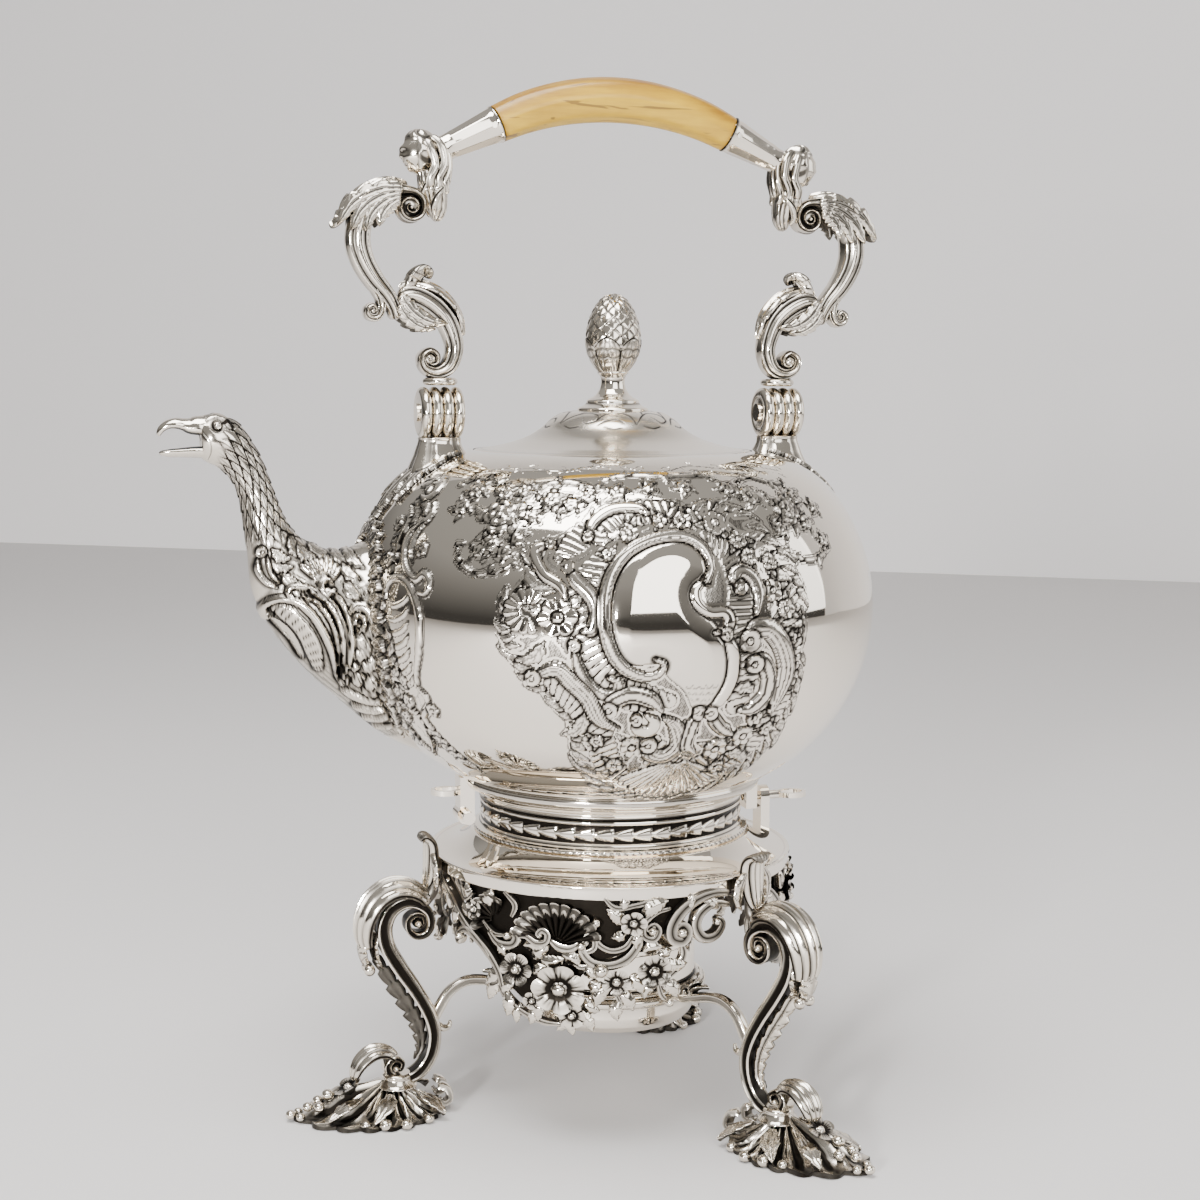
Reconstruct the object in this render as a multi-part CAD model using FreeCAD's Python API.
import FreeCAD, Part
import math
import os

# A silver swing-handle kettle with a bird-head spout, on a three-legged spirit-lamp stand.
# Millimetres, +Z up. The origin is on the floor under the kettle's axis and the spout points along -X.

Vector = FreeCAD.Vector

# Stand
stand_height = 92.3          # floor to the upper edge of the plate's rim
plate_radius = 64.4
rim_depth = 4.2
plate_rise = 6.7             # rim edge up to the flat that carries the collar
plate_flat_margin = 0.9      # flat beyond the collar's base moulding
plate_sheet = 1.5
collar_radius = 46.8
collar_wall = 2.8
collar_height = 11.7
collar_bead = 1.8            # how far the collar's base moulding stands out

# Legs, feet and struts
leg_angles = (180.0, 300.0, 60.0)
leg_names = ("spout", "front", "rear")
foot_tip_reach = 52.6        # foot tip outside the plate's edge
foot_heel_inset = 4.4        # foot heel inside the plate's edge
foot_half_width = 20.0
foot_edge = 2.4
foot_height = 19.0
strut_half = 1.9

# Pierced aprons between the legs
apron_sheet = 1.5
apron_band = 5.0
apron_drop = 45.0            # rim down to the lowest flower
apron_half_angle = 54.0
scroll_half = 1.9

# Lamp
lamp_ring_z = 41.0
lamp_ring_height = 3.0
lamp_ring_wall = 3.8
lamp_radius = 31.0
lamp_wall = 1.0
lamp_base_drop = 11.0        # ring down to the lamp's underside
lamp_drum_height = 14.0      # flange up to the lamp's mouth
lamp_flange = 2.4
lamp_flange_height = 1.2
lamp_cover_rise = 4.0
wick_tube_radius = 6.5
wick_tube_wall = 0.8
wick_tube_top = 14.0         # above the cover's flat
wick_depth = 24.0            # below the cover's flat
lamp_gap = 0.3

# Kettle body
body_radius = 92.5
equator_rise = 69.1          # seat up to the widest place
belly_arc = 66.0
shoulder_arc = 64.0
shoulder_angle = 35.65
mouth_rise = 54.4            # widest place up to the lid's edge
body_wall = 1.2
strainer_hole = 2.2
chase_front = 262.8          # direction of the front shield, the back one lies opposite
chase_height = 1.2           # flowers, scrolls and shields above the body's outside
chase_ground = 0.45          # leaves under them
chase_scroll_half = 2.0
petal_notch = 0.76

# Kettle foot
roll_reach = 6.9             # collar's outside to the roll's edge
roll_section = 2.4
roll_rise = 7.4

# Lid
lid_radius = 49.0
lid_gap = 0.3
lid_rim = 1.5
lid_sheet = 1.2
ledge_width = 4.5
ledge_sheet = 1.7
flange_depth = 7.0
flange_gap = 0.6
flange_wall = 1.1
cushion_radius = 22.5
cushion_foot = 7.2           # lid edge up to the cushion's foot
cushion_top_radius = 12.0
cushion_top = 13.8           # lid edge up to the cushion's flat
lid_barrel = 1.9
lid_barrel_rise = 0.6
lid_knuckle_half = 4.0
lid_barrel_half = 11.5
lid_pin = 0.8

# Finial
finial_ring_radius = 11.7
finial_ring_height = 3.4
finial_step_radius = 8.0
finial_step_height = 3.6
finial_stem_radius = 4.2
finial_stem_height = 7.0
cone_radius = 9.5
cone_height = 26.0
cone_tip = 0.8
stud_radius = 2.0
nut_radius = 5.0
nut_height = 3.0
peg_radius = 2.4
peg_height = 6.0

# Spout
spout_wall = 1.3
spout_mount_height = 1.6
spout_mount_width = 5.0
spout_scroll_height = 1.0
spout_scroll_half = 1.5

# Swing handle
pivot_half = 62.5            # axis of the kettle to the middle of each knuckle
pivot_rise = 13.1            # lid edge up to the pivot
leaf_radius = 8.9
leaf_thickness = 3.6
tongue_half = 3.75
leaf_gap = 0.15
pivot_pin = 2.0
pin_head = 3.2
pin_head_height = 0.8
abacus_half_depth = 6.5
abacus_height = 2.3
ear_half_depth = 5.0
ear_mount_height = 2.2
ear_leaf_inset = 9.0        # leaf tip inside the body's widest circle
ferrule_small = 3.8
ferrule_large = 6.2
ferrule_wall = 0.9
tenon_length = 5.0
grip_sagitta = 9.9
grip_half = 7.6
grip_end_half = 6.2
grip_pin = 0.9

# Pins between kettle and stand
hinge_reach = 7.4            # collar's outside to the hinge axis
hinge_drop = 4.3             # seat down to the hinge axis
barrel_radius = 3.1
lug_half = 4.0
ear_width = 3.25
pin_radius = 1.6
lug_half_depth = 2.1
lock_standoff = 1.6          # kettle's lock lug to the stand's lock post
post_depth = 3.4
pin_tip_gap = 0.3
lock_travel = 4.2
ring_half_length = 5.6
ring_half_width = 4.9
ring_band = 1.5
ring_sheet = 1.8
thumb_ring_rise = 4.0

# Clearances
running = 0.05               # radial, pins in turning or sliding holes
fixed_fit = 0.02             # radial, pieces fitted and soldered together
side_gap = 0.15              # between the side faces of hinge knuckles
free_gap = 0.3

# Levels worked out from the sizes above
rim_low = stand_height - rim_depth
plate_top = stand_height + plate_rise
seat = plate_top + collar_height
equator = seat + equator_rise
lid_level = equator + mouth_rise
ledge_level = lid_level - lid_rim
mouth_radius = lid_radius + lid_gap
pivot_level = lid_level + pivot_rise
hinge_axis_x = -(collar_radius + hinge_reach)
hinge_axis_z = seat - hinge_drop
rim_inside = plate_radius - plate_sheet
plate_flat_radius = collar_radius + collar_bead + plate_flat_margin
roll_radius = collar_radius + roll_reach
axis_z = Vector(0, 0, 1)
axis_x = Vector(1, 0, 0)
axis_y = Vector(0, 1, 0)
zero = Vector(0, 0, 0)


def point(r, z):
    return Vector(r, 0, z)


def line(a, b):
    return Part.makeLine(point(*a), point(*b))


def arc(a, b, c):
    return Part.Arc(point(*a), point(*b), point(*c)).toShape()


def turn(edges):
    solid = Part.Face(Part.Wire(edges)).revolve(zero, axis_z, 360)
    if solid.Volume < 0:
        solid.reverse()
    return solid


def lathe(outline):
    closed = list(outline) + [outline[0]]
    return turn([line(a, b) for a, b in zip(closed, closed[1:])])


def ring(inner, outer, low, high):
    return lathe([(inner, low), (outer, low), (outer, high), (inner, high)])


def rod(start, direction, radius, length):
    return Part.makeCylinder(radius, length, start, direction)


def block(low, high):
    size = high - low
    return Part.makeBox(size.x, size.y, size.z, low)


def biggest(shape):
    return max(shape.Solids, key=lambda solid: solid.Volume)


def fuse(*pieces):
    return pieces[0].multiFuse(list(pieces[1:]))


def carve(piece, *cutters):
    return biggest(piece.cut(list(cutters)))


def turned(shape, degrees):
    return shape.rotated(zero, axis_z, degrees)


def mirrored(shape):
    return shape.mirror(zero, axis_x)


section_points = 10


def closed_curve(points):
    curve = Part.BSplineCurve()
    count = len(points)
    even = [k / count for k in range(count + 1)]
    curve.interpolate(Points=points, PeriodicFlag=True, Parameters=even)
    return Part.Wire(curve.toShape())


def oval(middle, first, second):
    step = 2 * math.pi / section_points
    angles = [step * k for k in range(section_points)]
    return closed_curve([middle + first * math.cos(a) + second * math.sin(a) for a in angles])


# A tapering bar in the XZ plane through stations (r, z, half depth in the plane, half width across it).
def bar(stations):
    places = [point(s[0], s[1]) for s in stations]
    wires = []
    for k, station in enumerate(stations):
        before = places[max(k - 1, 0)]
        after = places[min(k + 1, len(places) - 1)]
        along = (after - before).normalize()
        across = along.cross(axis_y)
        wires.append(oval(places[k], across * station[2], axis_y * station[3]))
    return Part.makeLoft(wires, True)


# A tube in the XZ plane through stations (upper r, z, lower r, z, half width).
def limb(stations):
    wires = []
    for upper_r, upper_z, lower_r, lower_z, half in stations:
        upper = point(upper_r, upper_z)
        lower = point(lower_r, lower_z)
        wires.append(oval((upper + lower) * 0.5, (upper - lower) * 0.5, axis_y * half))
    return Part.makeLoft(wires, True)


def shrink(stations, wall):
    inner = []
    for upper_r, upper_z, lower_r, lower_z, half in stations:
        upper = point(upper_r, upper_z)
        lower = point(lower_r, lower_z)
        inward = (lower - upper).normalize() * wall
        upper = upper + inward
        lower = lower - inward
        inner.append((upper.x, upper.z, lower.x, lower.z, half - wall))
    return inner


def ball(r, z, radius_x, radius_y, radius_z):
    matrix = FreeCAD.Matrix()
    matrix.scale(radius_x, radius_y, radius_z)
    return Part.makeSphere(1.0).transformGeometry(matrix).translated(point(r, z))


def volute(r, z, radius, half_width):
    disc = rod(Vector(r, -half_width, z), axis_y, radius, 2 * half_width)
    boss = rod(Vector(r, -half_width - 0.1 * radius, z), axis_y, 0.4 * radius, 2 * half_width + 0.2 * radius)
    return disc.fuse(boss)


# The middles and radii of the three arcs of the body's side, and the slope where shoulder and crown meet.
def body_arcs():
    bend = math.radians(shoulder_angle)
    shoulder_middle = Vector(body_radius - shoulder_arc, 0, equator)
    belly_middle = Vector(body_radius - belly_arc, 0, equator)
    normal = Vector(math.cos(bend), 0, math.sin(bend))
    joint = shoulder_middle + normal * shoulder_arc
    chord = point(mouth_radius, lid_level) - joint
    crown_arc = -chord.dot(chord) / (2 * chord.dot(normal))
    return shoulder_middle, belly_middle, joint - normal * crown_arc, crown_arc, bend


# The body's outside, or its inside when inset is the wall: edges from the mouth down to the axis.
def body_edges(inset):
    shoulder_middle, belly_middle, crown_middle, crown_arc, bend = body_arcs()
    end = point(mouth_radius, lid_level) - crown_middle
    mouth_bend = math.atan2(end.z, end.x)

    def on(middle, radius, angle):
        reach = radius - inset
        return (middle.x + reach * math.cos(angle), middle.z + reach * math.sin(angle))

    def bow(middle, radius, first, last):
        half = 0.5 * (first + last)
        return arc(on(middle, radius, first), on(middle, radius, half), on(middle, radius, last))

    crown = bow(crown_middle, crown_arc, mouth_bend, bend)
    shoulder = bow(shoulder_middle, shoulder_arc, bend, 0.0)
    belly = bow(belly_middle, belly_arc, 0.0, -0.5 * math.pi)
    bottom_z = equator - belly_arc + inset
    bottom = line((belly_middle.x, bottom_z), (0, bottom_z))
    return [crown, shoulder, belly, bottom], on(crown_middle, crown_arc, mouth_bend), (0, bottom_z)


def body_filled(inset):
    edges, mouth, bottom = body_edges(inset)
    top = (0, mouth[1])
    return turn(edges + [line(bottom, top), line(top, mouth)])


def hinge_cylinder(radius, low_x, high_x):
    start = Vector(low_x, lid_radius + 0.5 * lid_gap, lid_level + lid_barrel_rise)
    return rod(start, axis_x, radius, high_x - low_x)


def spout_stations():
    reach = [(-2.5, 23.2, -8.5, -42.8, 22.0), (5.5, 20.8, 5.5, -30.8, 19.5),
             (13.0, 22.7, 18.5, -18.3, 15.5), (18.0, 25.2, 29.0, -4.8, 12.0), (21.5, 29.0, 34.8, 7.7, 9.6),
             (24.1, 33.4, 36.2, 20.2, 7.9), (26.4, 39.2, 37.5, 32.2, 7.0), (28.5, 45.2, 39.1, 41.0, 6.4),
             (31.0, 52.0, 42.0, 46.4, 6.3)]
    root = [(-12.0, 26.0, -26.0, -52.0, 22.0)]
    return [beside_body(*station) for station in root + reach]


# Places measured from the body's widest circle: outwards from it and up from it.
def beside_body(upper_r, upper_z, lower_r, lower_z, half):
    return (body_radius + upper_r, equator + upper_z, body_radius + lower_r, equator + lower_z, half)


# A place on the body: across from a shield's middle, up the side from the widest circle, and outwards.
def on_side(across, up, lift):
    shoulder_middle, belly_middle, crown_middle, crown_arc, bend = body_arcs()
    if up < 0:
        middle, reach, slope = belly_middle, belly_arc, up / belly_arc
    elif up < bend * shoulder_arc:
        middle, reach, slope = shoulder_middle, shoulder_arc, up / shoulder_arc
    else:
        middle, reach, slope = crown_middle, crown_arc, bend + (up - bend * shoulder_arc) / crown_arc
    place = middle + point(math.cos(slope), math.sin(slope)) * (reach + lift)
    return FreeCAD.Rotation(axis_z, math.degrees(across / body_radius)).multVec(place)


# A prism square to the body's side, between two heights over it, with an outline of round petals.
def petal_prism(across, up, radius, petals, low, high):
    middle = on_side(across, up, low)
    normal = on_side(across, up, low + 1.0) - middle
    first = axis_z.cross(normal).normalize()
    second = normal.cross(first)
    rim = []
    for k in range(2 * petals):
        angle = math.pi * k / petals
        reach = radius * (1.0 if k % 2 else petal_notch)
        rim.append(middle + (first * math.cos(angle) + second * math.sin(angle)) * reach)
    return Part.Face(closed_curve(rim)).extrude(normal * (high - low))


# A prism through the body's side under an outline of places on it.
def side_prism(places):
    flat = [on_side(across, up, 0.0) for across, up in places]
    outline = closed_curve([Vector(0, place.y, place.z) for place in flat])
    return Part.Face(outline).extrude(axis_x * (1.5 * body_radius))


# The outline of a band with round ends along a row of places.
def band_outline(places, half):
    left = []
    right = []
    for k, place in enumerate(places):
        before = places[max(k - 1, 0)]
        after = places[min(k + 1, len(places) - 1)]
        along = Vector(after[0] - before[0], after[1] - before[1], 0).normalize()
        width = half if 0 < k < len(places) - 1 else 0.6 * half
        left.append((place[0] - width * along.y, place[1] + width * along.x))
        right.append((place[0] + width * along.y, place[1] - width * along.x))
    return left + right[::-1]


shield_ground = [(-35.7, 31.5), (-25.2, 33), (-19, 41), (-6, 45), (10, 42), (28, 43), (40, 32), (48.3, 18), (50.4, 6),
                 (48.5, -6), (50.4, -18), (48.5, -43), (42, -56), (31, -66), (12, -71), (-6, -69), (-22, -60),
                 (-28.4, -42), (-29, -30), (-35, -20), (-43, -13), (-50, -3), (-51.4, 6), (-43, 16), (-43, 25)]
shield_field = [(-18.7, 6.2), (-16.8, -5), (-11.6, -12), (-3, -13), (2.2, -16), (7, -21), (11.2, -26), (18.6, -25),
                (23.4, -14), (23, -5), (20.4, 3), (13, 10), (11.6, 14.5), (16.4, 20), (14.4, 28.5), (5.2, 33.2),
                (-6, 31.5), (-15.8, 22)]
shield_scrolls = [[(28.5, -2), (33, 1.4), (39, -1.5), (43.5, -9), (44.4, -18), (41.4, -26.8)],
                  [(30.8, -9.8), (36, -11.5), (38, -18), (34.5, -24.5), (28.5, -25.6)],
                  [(-25, 31.7), (-22, 38), (-15, 41.9), (-5.5, 41.5)],
                  [(-31, 21.8), (-26.5, 16), (-21.6, 9.5), (-22.6, 2.5)],
                  [(-28.3, -2.6), (-26.5, -10.5), (-20.5, -18), (-14.5, -17), (-15.5, -13)],
                  [(-3.4, -37.6), (0.5, -42.8), (7, -39.5), (5.8, -30.3), (1.1, -26.7)],
                  [(-42, -13.5), (-34, -10.4), (-28, -16), (-21.5, -26), (-14.3, -30.9)]]
side_flowers = [(-33.4, 5.9, 6.2), (-9, -38.6, 4.2), (23, -40.7, 4.4), (33, -36.1, 4.0), (20.6, 36.3, 4.2),
                (38, 13.3, 3.6), (-58.3, 38.2, 6.2), (-39.5, 44.7, 4.6), (-73.9, 48, 3.2), (-59.2, 28.7, 2.8),
                (55.4, 40.1, 5.4), (40.2, 46.4, 3.6), (65.2, 45, 3.0)]
leaf_beds = [(-58.3, 38.2, 12.5), (-74.5, 45, 8.0), (55.4, 41, 12.0)]


# The chased work of one side: low leaves, and on them flowers, scrolls and the bare shield.
def make_side_chasing():
    inner = body_filled(0.5 * body_wall)
    low_skin = body_filled(-chase_ground).cut(inner)
    high_skin = body_filled(-chase_height).cut(inner)
    low = [side_prism(shield_ground)]
    low += [petal_prism(across, up, radius, 7, -radius, radius) for across, up, radius in leaf_beds]
    high = [side_prism(band_outline(places, chase_scroll_half)) for places in shield_scrolls]
    high.append(side_prism(shield_field))
    flowers = [petal_prism(across, up, radius, 5, -0.6 * body_wall, 0.8 * chase_height)
               for across, up, radius in side_flowers]
    return [low_skin.common(one) for one in low] + [high_skin.common(one) for one in high] + flowers


# Half of the hollow body with the chased work of its side in the middle.
def make_body_half():
    outside, mouth, bottom = body_edges(0.0)
    inside, inner_mouth, inner_bottom = body_edges(body_wall)
    edges = outside + [line(bottom, inner_bottom)] + inside[::-1] + [line(inner_mouth, mouth)]
    half = turned(Part.Face(Part.Wire(edges)).revolve(zero, axis_z, 180), -90)
    if half.Volume < 0:
        half.reverse()
    return fuse(half, *make_side_chasing())


def make_kettle_body():
    half = turned(make_body_half(), chase_front)
    shell = half.fuse(turned(half, 180)).removeSplitter()
    reach = 2 * body_wall + 6 * strainer_hole
    holes = []
    for row in range(-1, 2):
        for column in range(-1, 2):
            place = Vector(-body_radius - body_wall, column * 3 * strainer_hole, equator + row * 3 * strainer_hole)
            holes.append(rod(place, axis_x, strainer_hole, reach))
    clearance = hinge_cylinder(lid_barrel + free_gap, -lid_knuckle_half - side_gap, lid_knuckle_half + side_gap)
    pin_hole = hinge_cylinder(lid_pin + fixed_fit, -lid_barrel_half - free_gap, lid_barrel_half + free_gap)
    return carve(shell, clearance, pin_hole, *holes)


# The height of the body's outside below its widest place.
def belly_level(radius):
    return equator - math.sqrt(belly_arc ** 2 - max(0.0, radius - body_radius + belly_arc) ** 2)


def make_kettle_foot(filled):
    inner = collar_radius - collar_wall
    roll_middle = roll_radius - roll_section
    top = max(seat + roll_rise, belly_level(roll_middle)) + roll_section
    skirt = lathe([(inner, seat), (collar_radius, seat), (collar_radius + 0.4, seat + 0.35 * roll_rise),
                   (roll_middle, seat + roll_rise), (roll_middle, top), (inner, top)])
    roll = Part.makeTorus(roll_middle, roll_section, point(0, seat + roll_rise), axis_z)
    return carve(skirt.fuse(roll), filled)


def make_mouth_ring(body):
    outer = mouth_radius + 0.6 * ledge_width
    inner = mouth_radius - lid_gap - ledge_width
    return carve(ring(inner, outer, ledge_level - ledge_sheet, ledge_level), body)


def make_lid_cover():
    edge = lid_level
    foot = edge + cushion_foot
    top = edge + cushion_top
    under_radius = lid_radius - ledge_width - flange_gap - 2 * flange_wall
    outside = [line((lid_radius, ledge_level), (lid_radius, edge)),
               arc((lid_radius, edge), (0.7 * lid_radius, edge + 0.42 * cushion_foot), (cushion_radius, foot)),
               arc((cushion_radius, foot), (cushion_radius - 2.8, foot + 0.72 * (top - foot)),
                   (cushion_top_radius, top)),
               line((cushion_top_radius, top), (0, top))]
    low_top = top - lid_sheet
    low_foot = foot - lid_sheet
    low_cushion = cushion_radius - lid_sheet
    inside = [line((0, top), (0, low_top)),
              line((0, low_top), (cushion_top_radius - 0.5, low_top)),
              arc((cushion_top_radius - 0.5, low_top), (low_cushion - 2.8, low_foot + 0.72 * (top - foot)),
                  (low_cushion, low_foot)),
              arc((low_cushion, low_foot), (0.68 * lid_radius, ledge_level + 0.4 * cushion_foot),
                  (under_radius, ledge_level)),
              line((under_radius, ledge_level), (lid_radius, ledge_level))]
    cover = turn(outside + inside)
    stud_hole = rod(point(0, edge), axis_z, stud_radius + running, cushion_top + lid_sheet)
    notch = lid_barrel + free_gap
    right = hinge_cylinder(notch, lid_knuckle_half, lid_barrel_half + free_gap)
    left = hinge_cylinder(notch, -lid_barrel_half - free_gap, -lid_knuckle_half)
    pin_hole = hinge_cylinder(lid_pin + running, -lid_barrel_half, lid_barrel_half)
    return carve(cover, pin_hole, stud_hole, right, left)


def make_lid_flange():
    outer = mouth_radius - lid_gap - ledge_width - flange_gap
    return ring(outer - flange_wall, outer, ledge_level - flange_depth, ledge_level)


def make_lid_knuckle(lid):
    barrel = hinge_cylinder(lid_barrel, -lid_knuckle_half, lid_knuckle_half)
    hole = hinge_cylinder(lid_pin + running, -lid_knuckle_half, lid_knuckle_half)
    return carve(barrel, lid, hole)


def make_body_knuckles(body):
    solids = []
    for side in (-1, 1):
        ends = sorted((side * (lid_knuckle_half + side_gap), side * lid_barrel_half))
        barrel = hinge_cylinder(lid_barrel, *ends)
        hole = hinge_cylinder(lid_pin + fixed_fit, *ends)
        solids.append(carve(barrel, body, hole))
    return Part.makeCompound(solids)


def make_lid_hinge_pin():
    return hinge_cylinder(lid_pin, -lid_barrel_half, lid_barrel_half)


def finial_levels():
    base = lid_level + cushion_top
    step = base + finial_ring_height
    stem = step + finial_step_height
    return base, step, stem, stem + finial_stem_height


def make_finial_base():
    base, step, stem, cup = finial_levels()
    stud_low = base - lid_sheet - nut_height
    waist = 0.5 * (stem + cup)
    edges = [line((0, stud_low), (stud_radius, stud_low)),
             line((stud_radius, stud_low), (stud_radius, base)),
             line((stud_radius, base), (finial_ring_radius, base)),
             arc((finial_ring_radius, base), (finial_ring_radius + 0.5, 0.5 * (base + step)),
                 (finial_ring_radius - 1.0, step)),
             line((finial_ring_radius - 1.0, step), (finial_step_radius, step)),
             arc((finial_step_radius, step), (finial_step_radius - 0.2, 0.5 * (step + stem)),
                 (finial_stem_radius + 1.2, stem)),
             arc((finial_stem_radius + 1.2, stem), (finial_stem_radius, waist), (finial_stem_radius + 1.0, cup)),
             line((finial_stem_radius + 1.0, cup), (peg_radius, cup)),
             line((peg_radius, cup), (peg_radius, cup + peg_height)),
             line((peg_radius, cup + peg_height), (0, cup + peg_height)),
             line((0, cup + peg_height), (0, stud_low))]
    return turn(edges)


def make_finial_cone():
    cup = finial_levels()[3]
    widest = cup + 0.4 * cone_height
    top = cup + cone_height
    edges = [line((0, cup), (finial_stem_radius, cup)),
             arc((finial_stem_radius, cup), (0.88 * cone_radius, cup + 0.18 * cone_height), (cone_radius, widest)),
             arc((cone_radius, widest), (0.68 * cone_radius, cup + 0.8 * cone_height), (cone_tip, top)),
             line((cone_tip, top), (0, top)),
             line((0, top), (0, cup))]
    socket = rod(point(0, cup), axis_z, peg_radius + fixed_fit, peg_height)
    return carve(turn(edges), socket)


def make_finial_nut():
    top = lid_level + cushion_top - lid_sheet
    corners = [math.radians(60 * k) for k in range(7)]
    flats = Part.makePolygon([Vector(nut_radius * math.cos(a), nut_radius * math.sin(a), top - nut_height)
                              for a in corners])
    nut = Part.Face(flats).extrude(Vector(0, 0, nut_height))
    return carve(nut, rod(point(0, top - nut_height), axis_z, stud_radius + fixed_fit, nut_height))


# The spout's filled shape, in a lower and an upper length that share one section.
def spout_core(wall):
    stations = shrink(spout_stations(), wall)
    shared = len(stations) // 2
    return limb(stations[:shared + 1]).fuse(limb(stations[shared:]))


spout_scrolls = [[(31.2, 0.4), (33.4, 3), (31.4, 6.3), (26.5, 5.4), (20, -0.8), (15, -10.5), (12.4, -19)],
                 [(24.2, 8.4), (20.2, 9), (15, 4.6), (11.6, -4), (10.4, -13), (10.6, -20.5)],
                 [(13.4, 10.4), (9.6, 8.2), (6.6, 2), (6, -7), (7.6, -17)],
                 [(33.4, 19), (32.4, 13.6), (28.4, 10.2)]]


# Scrolls that stand up on both sides of the spout.
def make_spout_scrolls():
    bands = []
    for places in spout_scrolls:
        rim = band_outline(places, spout_scroll_half)
        outline = closed_curve([Vector(body_radius + out, -body_radius, equator + up) for out, up in rim])
        bands.append(Part.Face(outline).extrude(axis_y * (2 * body_radius)))
    skin = spout_core(-spout_scroll_height).cut(spout_core(0.5 * spout_wall))
    return [half for band in bands for half in skin.common(band).Solids]


def make_spout(filled):
    tube = spout_core(0.0).cut(spout_core(spout_wall))
    return turned(carve(fuse(tube, *make_spout_scrolls()), filled), 180)


def make_bird_head():
    neck = spout_stations()[-1]
    skull = limb([neck, beside_body(34.3, 57.8, 45.8, 49.3, 6.8), beside_body(38.1, 63.5, 49.0, 51.1, 7.4),
                  beside_body(45.0, 67.0, 51.8, 52.1, 7.3), beside_body(50.6, 65.9, 53.4, 53.6, 5.6)])
    upper_beak = limb([beside_body(48.5, 66.2, 50.5, 56.7, 5.4), beside_body(55.5, 65.8, 54.5, 59.2, 4.0),
                       beside_body(59.8, 64.7, 59.0, 61.2, 2.8), beside_body(62.8, 62.8, 61.5, 61.2, 1.7),
                       beside_body(64.6, 59.6, 63.2, 59.8, 0.5)])
    lower_beak = limb([beside_body(48.5, 55.4, 49.0, 51.0, 4.4), beside_body(54.5, 55.2, 54.5, 52.8, 3.4),
                       beside_body(59.5, 55.1, 59.5, 53.9, 2.2), beside_body(64.3, 54.7, 64.3, 54.2, 0.6)])
    throat = shrink([neck], spout_wall) + [beside_body(38.5, 58.0, 45.5, 51.7, 4.2),
                                           beside_body(46.5, 59.2, 49.0, 54.2, 3.2),
                                           beside_body(53.5, 58.8, 53.8, 55.6, 2.6),
                                           beside_body(58.5, 58.6, 58.5, 55.6, 2.4)]
    return turned(carve(fuse(skull, upper_beak, lower_beak), limb(throat)), 180)


# A plate of even thickness that lies on the body's outside, under a prism.
def body_skin(height, prism, filled):
    return body_filled(-height).cut(filled).common(prism)


def make_spout_mount(filled, spout):
    root = spout_stations()[1]
    low = root[3] - spout_mount_width
    high = root[1] + spout_mount_width
    half = root[4] + spout_mount_width
    middle = point(-body_radius, 0.5 * (low + high))
    outline = oval(middle, axis_z * (0.5 * (high - low)), axis_y * half)
    prism = Part.Face(outline).extrude(axis_x * (0.5 * body_radius)).translated(axis_x * (-0.2 * body_radius))
    return carve(body_skin(spout_mount_height, prism, filled), turned(spout_core(0.0), 180), spout)


def make_handle_ear(filled):
    inner = pivot_half - tongue_half - leaf_gap - leaf_thickness
    outer = pivot_half + tongue_half + leaf_gap
    base_top = pivot_level - leaf_radius - free_gap
    leaves = []
    for start in (inner, outer):
        leaves.append(rod(point(start, pivot_level), axis_x, leaf_radius, leaf_thickness))
        leaves.append(block(Vector(start, -ear_half_depth, base_top - 0.5),
                            Vector(start + leaf_thickness, ear_half_depth, pivot_level)))
    base = block(Vector(inner, -ear_half_depth, base_top - 2 * pivot_rise),
                 Vector(outer + leaf_thickness, ear_half_depth, base_top))
    leaf_tip = body_radius - ear_leaf_inset
    leaf_root = inner - leaf_thickness
    middle = Vector(0.5 * (leaf_root + leaf_tip), 0, equator)
    outline = oval(middle, axis_x * (0.5 * (leaf_tip - leaf_root)), axis_y * (2.3 * ear_half_depth))
    prism = Part.Face(outline).extrude(Vector(0, 0, 2 * mouth_rise))
    leaf = body_filled(-ear_mount_height).common(prism)
    hole = rod(point(inner, pivot_level), axis_x, pivot_pin + fixed_fit, outer + leaf_thickness - inner)
    return carve(fuse(base, leaf, *leaves), filled, hole)


def make_handle_pin():
    inner = pivot_half - tongue_half - leaf_gap - leaf_thickness
    length = 2 * (tongue_half + leaf_gap + leaf_thickness)
    shaft = rod(point(inner, pivot_level), axis_x, pivot_pin, length)
    near = rod(point(inner - pin_head_height, pivot_level), axis_x, pin_head, pin_head_height)
    far = rod(point(inner + length, pivot_level), axis_x, pin_head, pin_head_height)
    return fuse(shaft, near, far)


# Places on the right-hand arm: outwards from the pivot and up from it.
def on_arm(stations):
    return [(pivot_half + s[0], pivot_level + s[1]) + tuple(s[2:]) for s in stations]


ferrule_root = (-3.0, 89.6)
ferrule_end = (-20.4, 97.9)
bust_waist = (9.3, 75.2)


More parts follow.
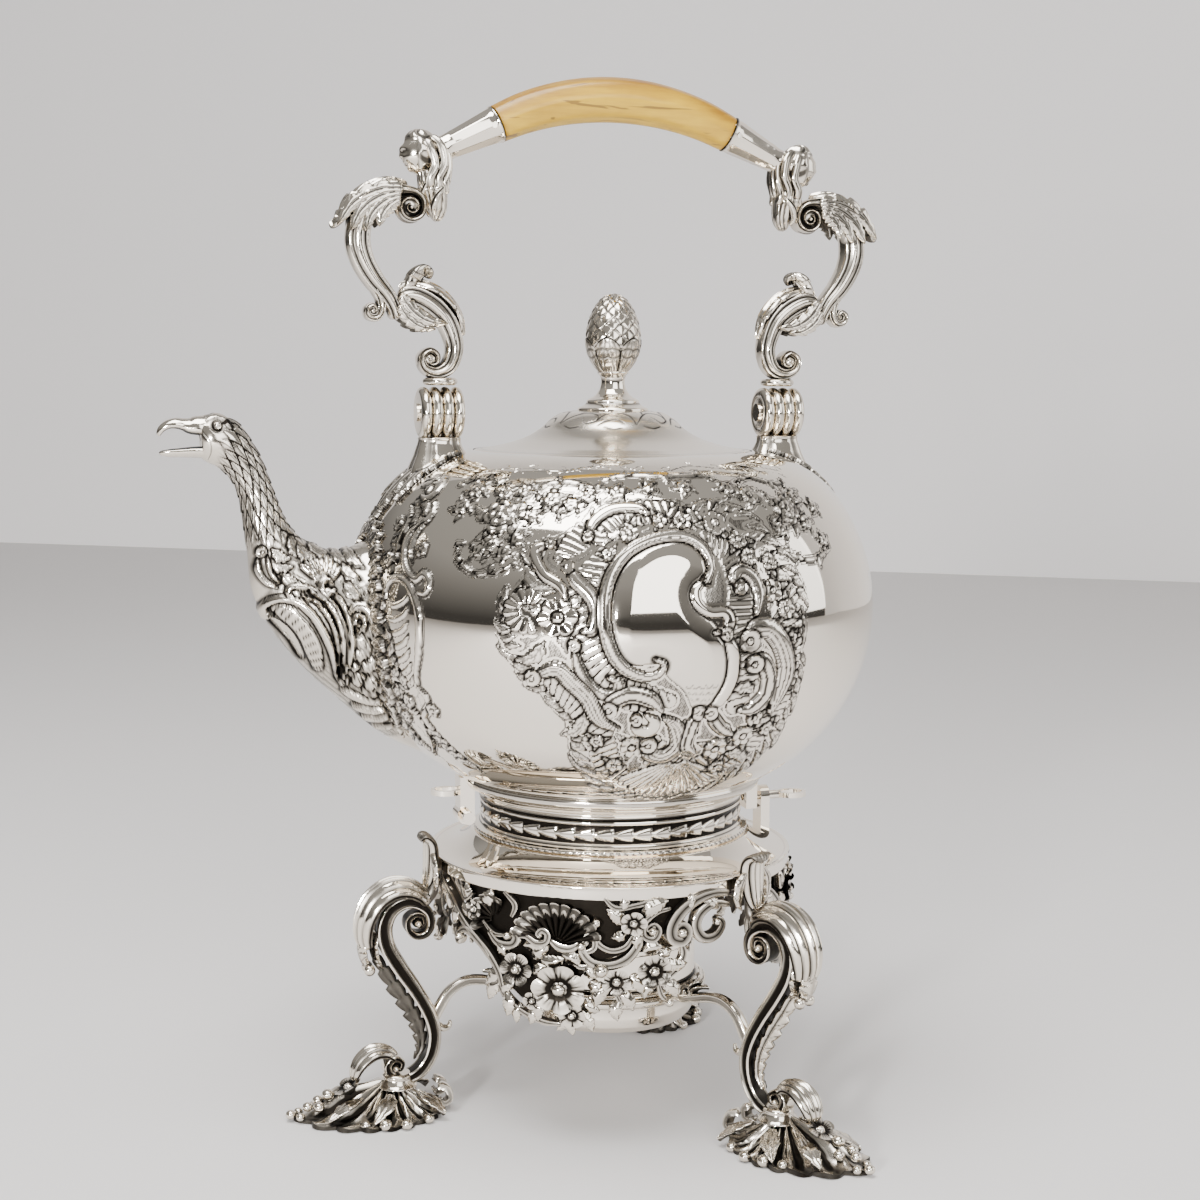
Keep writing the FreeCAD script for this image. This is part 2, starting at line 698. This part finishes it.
def make_arm():
    abacus_low = leaf_radius + 0.2
    tongue = rod(point(pivot_half - tongue_half, pivot_level), axis_x, leaf_radius, 2 * tongue_half)
    stem = block(Vector(pivot_half - tongue_half, -ear_half_depth, pivot_level),
                 Vector(pivot_half + tongue_half, ear_half_depth, pivot_level + abacus_low + 0.5))
    reach = tongue_half + leaf_gap + leaf_thickness
    abacus = block(Vector(pivot_half - reach, -abacus_half_depth, pivot_level + abacus_low),
                   Vector(pivot_half + reach, abacus_half_depth, pivot_level + abacus_low + abacus_height))
    lower = bar(on_arm([(1.2, 10.5, 3.4, 4.2), (-1.2, 18.0, 3.2, 4.2), (-1.9, 24.6, 3.0, 4.2),
                        (2.0, 30.6, 3.2, 4.4), (9.0, 33.6, 3.6, 4.8), (16.5, 33.0, 3.8, 5.0)]))
    upper = bar(on_arm([(14.0, 32.5, 4.0, 4.8), (20.5, 40.5, 5.0, 5.2), (27.0, 49.0, 5.3, 5.4),
                        (30.3, 59.0, 5.4, 5.4), (28.0, 68.3, 4.8, 5.0), (21.0, 73.4, 4.0, 4.6),
                        (13.0, 73.0, 3.4, 4.2)]))
    outer_leaf = bar(on_arm([(31.0, 70.0, 2.2, 2.6), (35.0, 66.3, 1.6, 2.0), (37.0, 61.8, 0.6, 0.8)]))
    inner_leaf = bar(on_arm([(13.0, 36.0, 3.0, 3.6), (9.0, 43.0, 2.0, 2.8), (5.5, 48.5, 0.7, 1.0)]))
    curls = [volute(*station) for station in on_arm([(10.0, 69.5, 6.3, 4.6), (22.6, 33.0, 2.8, 3.6),
                                                     (1.6, 16.6, 4.2, 4.4)])]
    hole = rod(point(pivot_half - tongue_half, pivot_level), axis_x, pivot_pin + running, 2 * tongue_half)
    return carve(fuse(lower, upper, tongue, stem, abacus, outer_leaf, inner_leaf, *curls), hole)


def make_bust(arm):
    torso = bar(on_arm([(2.0, 66.5, 0.8, 1.2), (3.6, 71.5, 2.6, 3.4), (bust_waist[0] - 2.5, 78.5, 4.8, 6.2),
                        (7.4, 82.5, 3.0, 3.4), (7.9, 86.0, 2.6, 3.0)]))
    head_place = on_arm([(8.2, 87.8)])[0]
    head = ball(*head_place, 5.4, 5.2, 6.9)
    hair = bar(on_arm([(5.5, 88.3, 5.6, 5.4), (1.5, 89.0, 4.9, 4.9), ferrule_root + (ferrule_small, ferrule_small)]))
    return carve(fuse(torso, head, hair), arm)


def ferrule_frame():
    root = point(pivot_half + ferrule_root[0], pivot_level + ferrule_root[1])
    end = point(pivot_half + ferrule_end[0], pivot_level + ferrule_end[1])
    return root, end, (end - root).normalize()


def pin_place():
    root, end, along = ferrule_frame()
    return end - along * (0.5 * tenon_length)


def grip_pin_rod(extra):
    place = pin_place()
    half = ferrule_large
    return rod(place - axis_y * half, axis_y, grip_pin + extra, 2 * half)


def make_ferrule(bust):
    root, end, along = ferrule_frame()
    length = (end - root).Length
    cone = Part.makeCone(ferrule_small, ferrule_large, length, root, along)
    lip = rod(end - along * 1.2, along, ferrule_large + 0.5, 1.2)
    socket = rod(end - along * tenon_length, along, ferrule_large - ferrule_wall, tenon_length)
    return carve(cone.fuse(lip), socket, bust, grip_pin_rod(fixed_fit))


def make_grip():
    root, end, along = ferrule_frame()
    half_chord = end.x
    arch = (half_chord ** 2 + grip_sagitta ** 2) / (2 * grip_sagitta)
    middle_z = end.z + grip_sagitta - arch
    spread = math.asin(half_chord / arch)
    wires = []
    steps = 8
    for k in range(steps + 1):
        share = 2.0 * k / steps - 1.0
        angle = share * spread
        outward = Vector(math.sin(angle), 0, math.cos(angle))
        half = grip_end_half + (grip_half - grip_end_half) * (1.0 - share * share)
        wires.append(oval(point(0, middle_z) + outward * arch, outward * half, axis_y * half))
    handle = Part.makeLoft(wires, True)
    tenon = rod(end - along * (tenon_length - fixed_fit), along, ferrule_large - ferrule_wall - fixed_fit,
                1.2 * tenon_length)
    right_face = Part.makeCone(ferrule_small, 1.4 * ferrule_large, 2 * tenon_length, end - along * 2 * tenon_length,
                               along)
    body = carve(handle, right_face, mirrored(right_face))
    hole = grip_pin_rod(fixed_fit)
    return carve(fuse(body, tenon, mirrored(tenon)), hole, mirrored(hole))


def make_plate():
    inner = collar_radius - collar_wall
    bend_r = plate_flat_radius + 0.36 * (plate_radius - plate_flat_radius)
    bend_z = stand_height + 0.27 * plate_rise
    under_z = stand_height - plate_sheet
    edges = [line((inner, plate_top), (plate_flat_radius, plate_top)),
             arc((plate_flat_radius, plate_top), (bend_r, bend_z), (plate_radius, stand_height)),
             line((plate_radius, stand_height), (plate_radius, rim_low)),
             line((plate_radius, rim_low), (rim_inside, rim_low)),
             line((rim_inside, rim_low), (rim_inside, under_z)),
             arc((rim_inside, under_z), (bend_r - 0.5 * plate_sheet, bend_z - plate_sheet),
                 (plate_flat_radius, plate_top - plate_sheet)),
             line((plate_flat_radius, plate_top - plate_sheet), (inner, plate_top - plate_sheet)),
             line((inner, plate_top - plate_sheet), (inner, plate_top))]
    return turn(edges)


def make_collar():
    inner = collar_radius - collar_wall
    band = collar_radius - 0.5
    base = collar_radius + collar_bead
    return lathe([(inner, plate_top), (base, plate_top), (base, plate_top + 1.8), (collar_radius, plate_top + 3.2),
                  (band, plate_top + 3.8), (band, seat - 1.4), (collar_radius, seat - 0.9), (collar_radius, seat),
                  (inner, seat)])


# Places on a leg at angle 0: outwards from the plate's edge, and a share of the stand's height.
def on_leg(stations):
    return [(plate_radius + s[0], stand_height * s[1]) + tuple(s[2:]) for s in stations]


def make_leg_cap(plate):
    cap = bar(on_leg([(3.2, 1.075, 0.7, 1.4), (2.5, 1.035, 1.6, 4.6), (2.0, 0.98, 2.1, 5.8),
                      (2.4, 0.92, 2.3, 5.2), (4.1, 0.86, 2.2, 4.0), (5.8, 0.805, 1.4, 2.6)]))
    return carve(cap, plate)


def make_leg(cap, foot):
    knee = bar(on_leg([(4.6, 0.775, 2.6, 4.6), (6.0, 0.835, 3.6, 5.6), (13.0, 0.852, 4.2, 7.2),
                       (20.0, 0.79, 4.8, 8.4), (22.6, 0.70, 4.6, 7.4), (21.2, 0.615, 3.4, 5.0)]))
    shaft = bar(on_leg([(17.0, 0.745, 5.0, 6.0), (14.8, 0.64, 4.9, 5.6), (9.8, 0.53, 4.1, 4.6),
                        (4.4, 0.435, 3.1, 3.8), (1.4, 0.35, 2.6, 3.2), (0.8, 0.285, 2.9, 3.4),
                        (3.2, 0.215, 3.7, 4.2), (8.2, 0.16, 4.5, 5.4), (12.0, 0.13, 4.9, 6.0)]))
    spur = bar(on_leg([(1.8, 0.40, 2.0, 2.4), (5.2, 0.37, 1.5, 1.8), (7.6, 0.33, 0.6, 0.8)]))
    curls = [volute(*station) for station in on_leg([(6.4, 0.745, 4.0, 5.0), (22.6, 0.585, 3.4, 4.6)])]
    return carve(fuse(knee, shaft, spur, *curls), cap, foot)


def make_foot():
    heel = plate_radius - foot_heel_inset
    tip = plate_radius + foot_tip_reach
    length = tip - heel
    scallops = [(0.895, 0.35), (0.77, 0.48), (0.685, 0.78), (0.53, 0.80), (0.40, 1.0), (0.265, 0.83),
                (0.125, 0.75), (0.045, 0.42)]
    right = [(heel + length * s, foot_half_width * w) for s, w in scallops]
    outline = [(tip, 0.0)] + right + [(heel, 0.0)] + [(x, -y) for x, y in reversed(right)]
    levels = [(0.0, 1.0), (foot_edge, 1.0), (0.42 * foot_height, 0.76), (0.72 * foot_height, 0.48),
              (foot_height, 0.2)]
    crest = heel + 0.26 * length
    wires = []
    for z, share in levels:
        points = [Vector(crest + (x - crest) * share, y * share, z) for x, y in outline]
        wires.append(closed_curve(points))
    return Part.makeLoft(wires, True)


def make_strut(leg, lamp_ring):
    ring_middle = lamp_radius + lamp_gap + 0.5 * lamp_ring_wall
    z = lamp_ring_z + 0.5 * lamp_ring_height
    start = on_leg([(1.6, 0.345)])[0]
    reach = start[0] - ring_middle
    stations = [(start[0], start[1], 0.8 * strut_half, 0.85 * strut_half),
                (start[0] - 0.16 * reach, start[1] + 6.6, 0.95 * strut_half, strut_half),
                (start[0] - 0.38 * reach, z + 2.4, strut_half, strut_half),
                (start[0] - 0.6 * reach, z + 2.0, strut_half, strut_half),
                (start[0] - 0.82 * reach, z + 0.4, 0.85 * strut_half, strut_half),
                (ring_middle, z, 0.7 * strut_half, 0.9 * strut_half)]
    return carve(bar(stations), leg, lamp_ring)


def make_lamp_ring():
    inner = lamp_radius + lamp_gap
    return ring(inner, inner + lamp_ring_wall, lamp_ring_z, lamp_ring_z + lamp_ring_height)


# Places on an apron facing +X: along its cylinder, and down from the rim's lower edge.
def on_apron(along, drop, out):
    angle = along / rim_inside
    return Vector((rim_inside + out) * math.cos(angle), (rim_inside + out) * math.sin(angle), rim_low - drop)


def apron_scroll(stations):
    wires = []
    places = [on_apron(along, drop, 0.0) for along, drop, half in stations]
    for k, place in enumerate(places):
        before = places[max(k - 1, 0)]
        after = places[min(k + 1, len(places) - 1)]
        outward = Vector(place.x, place.y, 0).normalize()
        across = (after - before).cross(outward).normalize()
        half = stations[k][2]
        wires.append(oval(place, outward * half, across * half))
    return Part.makeLoft(wires, True)


def apron_flower(along, drop, radius):
    petals = 5
    points = []
    for k in range(2 * petals):
        reach = radius if k % 2 == 0 else 0.72 * radius
        angle = math.pi * k / petals
        points.append(Vector(0, reach * math.cos(angle), reach * math.sin(angle)))
    disc = Part.Face(closed_curve(points)).extrude(axis_x * (2 * apron_sheet))
    heart = rod(zero, axis_x, 0.32 * radius, 3 * apron_sheet)
    place = on_apron(along, drop, 0.0)
    flower = disc.fuse(heart).rotated(zero, axis_z, math.degrees(along / rim_inside))
    return flower.translated(place - Vector(place.x, place.y, 0).normalize() * (0.7 * apron_sheet))


def make_apron(neighbours):
    band = ring(rim_inside - apron_sheet, rim_inside, rim_low - 1.0, stand_height - plate_sheet)
    sheet = ring(rim_inside - apron_sheet, rim_inside, rim_low - apron_drop, rim_low)
    reach = rim_inside * math.sin(math.radians(apron_half_angle))
    wedge_low = rim_low - apron_drop
    wedge = block(Vector(0.4 * rim_inside, -reach, wedge_low), Vector(plate_radius, reach, stand_height))
    edge = [(-1.0, 0.08), (-0.86, 0.3), (-0.62, 0.45), (-0.42, 0.68), (-0.2, 0.9), (0.03, 1.0), (0.22, 0.86),
            (0.46, 0.7), (0.66, 0.5), (0.86, 0.3), (1.0, 0.08)]
    lower = Part.BSplineCurve()
    lower.interpolate([Vector(0, reach * s, rim_low - apron_drop * share) for s, share in edge])
    left = Vector(0, -reach, rim_low)
    right = Vector(0, reach, rim_low)
    sides = [Part.makeLine(left, lower.StartPoint), lower.toShape(), Part.makeLine(lower.EndPoint, right),
             Part.makeLine(right, left)]
    panel = sheet.common(Part.Face(Part.Wire(sides)).extrude(axis_x * plate_radius))
    windows = [(-36.0, 9.0, 4.4), (-25.0, 16.0, 4.0), (12.0, 6.4, 4.4), (31.0, 9.6, 3.2), (46.8, 9.6, 5.6),
               (8.4, 23.4, 2.4), (20.0, 24.2, 2.4), (-12.0, 27.8, 2.4)]
    holes = []
    for along, drop, radius in windows:
        outward = on_apron(along, drop, 0.0) - on_apron(along, drop, -1.0)
        holes.append(rod(on_apron(along, drop, -4 * apron_sheet), outward, radius, 8 * apron_sheet))
    panel = panel.cut(holes)
    flowers = [apron_flower(*place) for place in [(-16.5, 25.1, 5.7), (-1.9, 29.9, 8.5), (1.9, 38.9, 4.4),
                                                  (15.6, 27.1, 4.6), (27.4, 23.7, 5.5), (20.8, 7.3, 4.0),
                                                  (-11.2, 35.4, 3.0)]]
    shell_fan = apron_flower(-5.5, 8.6, 12.0)
    big_scroll = apron_scroll([(35.0, 13.2, 1.3), (38.0, 9.4, scroll_half), (42.0, 3.8, 1.1 * scroll_half),
                               (49.0, 0.8, 1.1 * scroll_half), (56.0, 1.4, scroll_half)])
    low_scroll = apron_scroll([(6.5, 13.4, 1.3), (5.4, 17.6, scroll_half), (10.0, 21.2, 1.1 * scroll_half),
                               (16.5, 20.8, scroll_half), (22.5, 13.4, 1.2)])
    left_scroll = apron_scroll([(-56.0, 2.0, scroll_half), (-48.0, 6.4, 1.1 * scroll_half),
                                (-41.0, 13.0, 1.1 * scroll_half), (-33.0, 18.6, scroll_half),
                                (-26.0, 23.6, 1.3)])
    pieces = [panel, band.common(wedge), shell_fan, big_scroll, low_scroll, left_scroll] + flowers
    return carve(fuse(*pieces), *neighbours)


def make_hinge_bracket(collar, plate):
    ears = []
    for side in (-1, 1):
        inner = lug_half + side_gap
        start = min(side * inner, side * (inner + ear_width))
        ears.append(rod(Vector(hinge_axis_x, start, hinge_axis_z), axis_y, barrel_radius, ear_width))
        ears.append(block(Vector(hinge_axis_x, start, plate_top - plate_rise),
                          Vector(hinge_axis_x + 2 * hinge_reach, start + ear_width,
                                 hinge_axis_z + 0.6 * barrel_radius)))
    length = 2 * (lug_half + side_gap + ear_width)
    hole = rod(Vector(hinge_axis_x, -0.5 * length, hinge_axis_z), axis_y, pin_radius + running, length)
    tie = block(Vector(hinge_axis_x + barrel_radius + free_gap + lug_half_depth, -0.5 * length, plate_top - plate_rise),
                Vector(hinge_axis_x + 2 * hinge_reach, 0.5 * length, hinge_axis_z))
    return carve(fuse(tie, *ears), collar, plate, hole)


def make_hinge_lug(foot, filled):
    barrel = rod(Vector(hinge_axis_x, -lug_half, hinge_axis_z), axis_y, barrel_radius, 2 * lug_half)
    strap = block(Vector(hinge_axis_x - lug_half_depth, -lug_half, hinge_axis_z),
                  Vector(hinge_axis_x + barrel_radius, lug_half, seat + roll_rise + 0.8 * roll_section))
    hole = rod(Vector(hinge_axis_x, -lug_half, hinge_axis_z), axis_y, pin_radius + running, 2 * lug_half)
    return carve(barrel.fuse(strap), foot, filled, hole)


def make_hinge_pin():
    half = lug_half + side_gap + ear_width
    shaft = rod(Vector(hinge_axis_x, -half, hinge_axis_z), axis_y, pin_radius, 2 * half)
    head = rod(Vector(hinge_axis_x, -half - 1.4, hinge_axis_z), axis_y, 1.4 * pin_radius, 1.4)
    return shaft.fuse(head)


# A flat oval finger ring around a middle, lying level.
def finger_ring(middle):
    outer = oval(middle, axis_x * ring_half_length, axis_y * ring_half_width)
    inner = oval(middle, axis_x * (ring_half_length - ring_band), axis_y * (ring_half_width - ring_band))
    rise = axis_z * ring_sheet
    solid = Part.Face(outer).extrude(rise).cut(Part.Face(inner).extrude(rise))
    return solid.translated(rise * -0.5)


def make_thumb_ring(lug, filled):
    middle = point(hinge_axis_x - lug_half_depth - ring_half_length + ring_band, seat + thumb_ring_rise)
    return carve(finger_ring(middle), lug, filled)


def lock_places():
    lug_out = collar_radius + hinge_reach + 1.2
    post_in = lug_out + lock_standoff
    return lug_out, post_in, post_in + post_depth


def make_lock_lug(foot, filled):
    lug_out = lock_places()[0]
    strap = block(Vector(lug_out - 2 * lug_half_depth, -lug_half, hinge_axis_z - lug_half),
                  Vector(lug_out, lug_half, seat + roll_rise + 0.8 * roll_section))
    hole = rod(point(lug_out - 3 * lug_half_depth, hinge_axis_z), axis_x, pin_radius + running, 4 * lug_half_depth)
    return carve(strap, foot, filled, hole)


def make_lock_bracket(plate):
    lug_out, post_in, post_out = lock_places()
    post = block(Vector(post_in, -lug_half, stand_height - plate_sheet), Vector(post_out, lug_half, hinge_axis_z))
    cap = rod(point(post_in, hinge_axis_z), axis_x, lug_half, post_depth)
    hole = rod(point(post_in, hinge_axis_z), axis_x, pin_radius + running, post_depth)
    return carve(post.fuse(cap), plate, hole)


def make_lock_pin():
    lug_out, post_in, post_out = lock_places()
    tip = lug_out + pin_tip_gap
    ring_in = post_out + lock_travel + free_gap
    shaft = rod(point(tip, hinge_axis_z), axis_x, pin_radius, ring_in + 0.6 * ring_band - tip)
    return shaft.fuse(finger_ring(point(ring_in + ring_half_length, hinge_axis_z)))


def lamp_levels():
    flange = lamp_ring_z + lamp_ring_height
    mouth = flange + lamp_flange_height + lamp_drum_height
    return flange, mouth, mouth + lamp_cover_rise


def make_lamp_bowl():
    flange, mouth, flat = lamp_levels()
    base = lamp_ring_z - lamp_base_drop
    corner = 4.5
    inner = lamp_radius - lamp_wall
    inner_corner = corner - lamp_wall
    bend = 1.0 - math.sqrt(0.5)
    lip = lamp_radius + lamp_flange
    edges = [line((0, base), (lamp_radius - corner, base)),
             arc((lamp_radius - corner, base), (lamp_radius - bend * corner, base + bend * corner),
                 (lamp_radius, base + corner)),
             line((lamp_radius, base + corner), (lamp_radius, flange)),
             line((lamp_radius, flange), (lip, flange)),
             line((lip, flange), (lip, flange + lamp_flange_height)),
             line((lip, flange + lamp_flange_height), (lamp_radius, flange + lamp_flange_height)),
             line((lamp_radius, flange + lamp_flange_height), (lamp_radius, mouth)),
             line((lamp_radius, mouth), (inner, mouth)),
             line((inner, mouth), (inner, base + corner)),
             arc((inner, base + corner), (inner - bend * inner_corner, base + lamp_wall + bend * inner_corner),
                 (inner - inner_corner, base + lamp_wall)),
             line((inner - inner_corner, base + lamp_wall), (0, base + lamp_wall)),
             line((0, base + lamp_wall), (0, base))]
    return turn(edges)


def make_lamp_cover():
    flange, mouth, flat = lamp_levels()
    hole = wick_tube_radius + fixed_fit
    spigot = lamp_radius - lamp_wall - lamp_gap
    skirt = mouth - 2.0
    under = flat - 1.2
    return lathe([(hole, under), (0.55 * lamp_radius, under), (spigot - 1.0, mouth), (spigot - 1.0, skirt),
                  (spigot, skirt), (spigot, mouth), (lamp_radius + 0.6, mouth), (lamp_radius + 0.6, mouth + 1.2),
                  (0.6 * lamp_radius, flat), (hole, flat)])


def make_wick_tube():
    flat = lamp_levels()[2]
    inner = wick_tube_radius - wick_tube_wall
    collar_low = flat
    tube = ring(inner, wick_tube_radius, flat - 0.4 * wick_depth, flat + wick_tube_top)
    collar = ring(wick_tube_radius, wick_tube_radius + 2.0, collar_low, collar_low + 1.4)
    lip = ring(wick_tube_radius, wick_tube_radius + 0.8, flat + wick_tube_top - 1.2, flat + wick_tube_top)
    return fuse(tube, collar, lip)


def make_wick():
    flat = lamp_levels()[2]
    radius = wick_tube_radius - wick_tube_wall - fixed_fit
    low = flat - wick_depth
    high = flat + wick_tube_top + 1.0
    return lathe([(0, low), (radius, low), (radius, high - 0.6), (radius - 0.8, high), (0, high)])


def build_kettle(parts):
    filled = body_filled(0.0)
    body = make_kettle_body()
    foot = make_kettle_foot(filled)
    spout = make_spout(filled)
    parts["kettle_body"] = body
    parts["kettle_foot"] = foot
    parts["mouth_ring"] = make_mouth_ring(body)
    parts["spout"] = spout
    parts["bird_head"] = make_bird_head()
    parts["spout_mount"] = make_spout_mount(filled, spout)
    ear = make_handle_ear(filled)
    pin = make_handle_pin()
    parts["handle_ear_right"] = ear
    parts["handle_ear_left"] = mirrored(ear)
    parts["handle_pins"] = Part.makeCompound([pin, mirrored(pin)])
    lug = make_hinge_lug(foot, filled)
    parts["hinge_lug"] = lug
    parts["thumb_ring"] = make_thumb_ring(lug, filled)
    parts["lock_lug"] = make_lock_lug(foot, filled)
    parts["lid_hinge_knuckles"] = make_body_knuckles(body)
    parts["lid_hinge_pin"] = make_lid_hinge_pin()


def build_lid(parts):
    cover = make_lid_cover()
    parts["lid_cover"] = cover
    parts["lid_flange"] = make_lid_flange()
    parts["lid_knuckle"] = make_lid_knuckle(cover)
    parts["finial_base"] = make_finial_base()
    parts["finial_cone"] = make_finial_cone()
    parts["finial_nut"] = make_finial_nut()


def build_handle(parts):
    arm = make_arm()
    bust = make_bust(arm)
    ferrule = make_ferrule(bust)
    pin = grip_pin_rod(0.0)
    for side, place in (("right", lambda shape: shape), ("left", mirrored)):
        parts["handle_arm_" + side] = place(arm)
        parts["handle_bust_" + side] = place(bust)
        parts["handle_ferrule_" + side] = place(ferrule)
    parts["handle_grip"] = make_grip()
    parts["grip_pins"] = Part.makeCompound([pin, mirrored(pin)])


def build_stand(parts):
    plate = make_plate()
    collar = make_collar()
    lamp_ring = make_lamp_ring()
    foot = make_foot()
    cap = make_leg_cap(plate)
    leg = make_leg(cap, foot)
    strut = make_strut(leg, lamp_ring)
    side_legs = []
    for angle in (-60.0, 60.0):
        side_legs += [turned(cap, angle), turned(leg, angle)]
    apron = make_apron([plate] + side_legs)
    parts["stand_plate"] = plate
    parts["stand_collar"] = collar
    parts["lamp_ring"] = lamp_ring
    for name, angle in zip(leg_names, leg_angles):
        parts["leg_" + name] = turned(leg, angle)
        parts["foot_" + name] = turned(foot, angle)
        parts["leg_cap_" + name] = turned(cap, angle)
        parts["strut_" + name] = turned(strut, angle)
    for name, angle in zip(("front", "right", "back"), (240.0, 0.0, 120.0)):
        parts["apron_" + name] = turned(apron, angle)
    parts["hinge_bracket"] = make_hinge_bracket(collar, plate)
    parts["lock_bracket"] = make_lock_bracket(plate)


def build_loose_pieces(parts):
    parts["hinge_pin"] = make_hinge_pin()
    parts["lock_pin"] = make_lock_pin()
    parts["lamp_bowl"] = make_lamp_bowl()
    parts["lamp_cover"] = make_lamp_cover()
    parts["wick_tube"] = make_wick_tube()
    parts["wick"] = make_wick()


parts = {}
build_stand(parts)
build_kettle(parts)
build_lid(parts)
build_handle(parts)
build_loose_pieces(parts)

os.makedirs("parts", exist_ok=True)
for name, shape in parts.items():
    shape.exportStep("parts/" + name + ".step")
    print(name, len(shape.Solids), "solid", round(shape.Volume, 1), "mm3", "valid" if shape.isValid() else "INVALID")
print(len(parts), "nodes, seat", round(seat, 2), "lid", round(lid_level, 2), "pivot", round(pivot_level, 2))
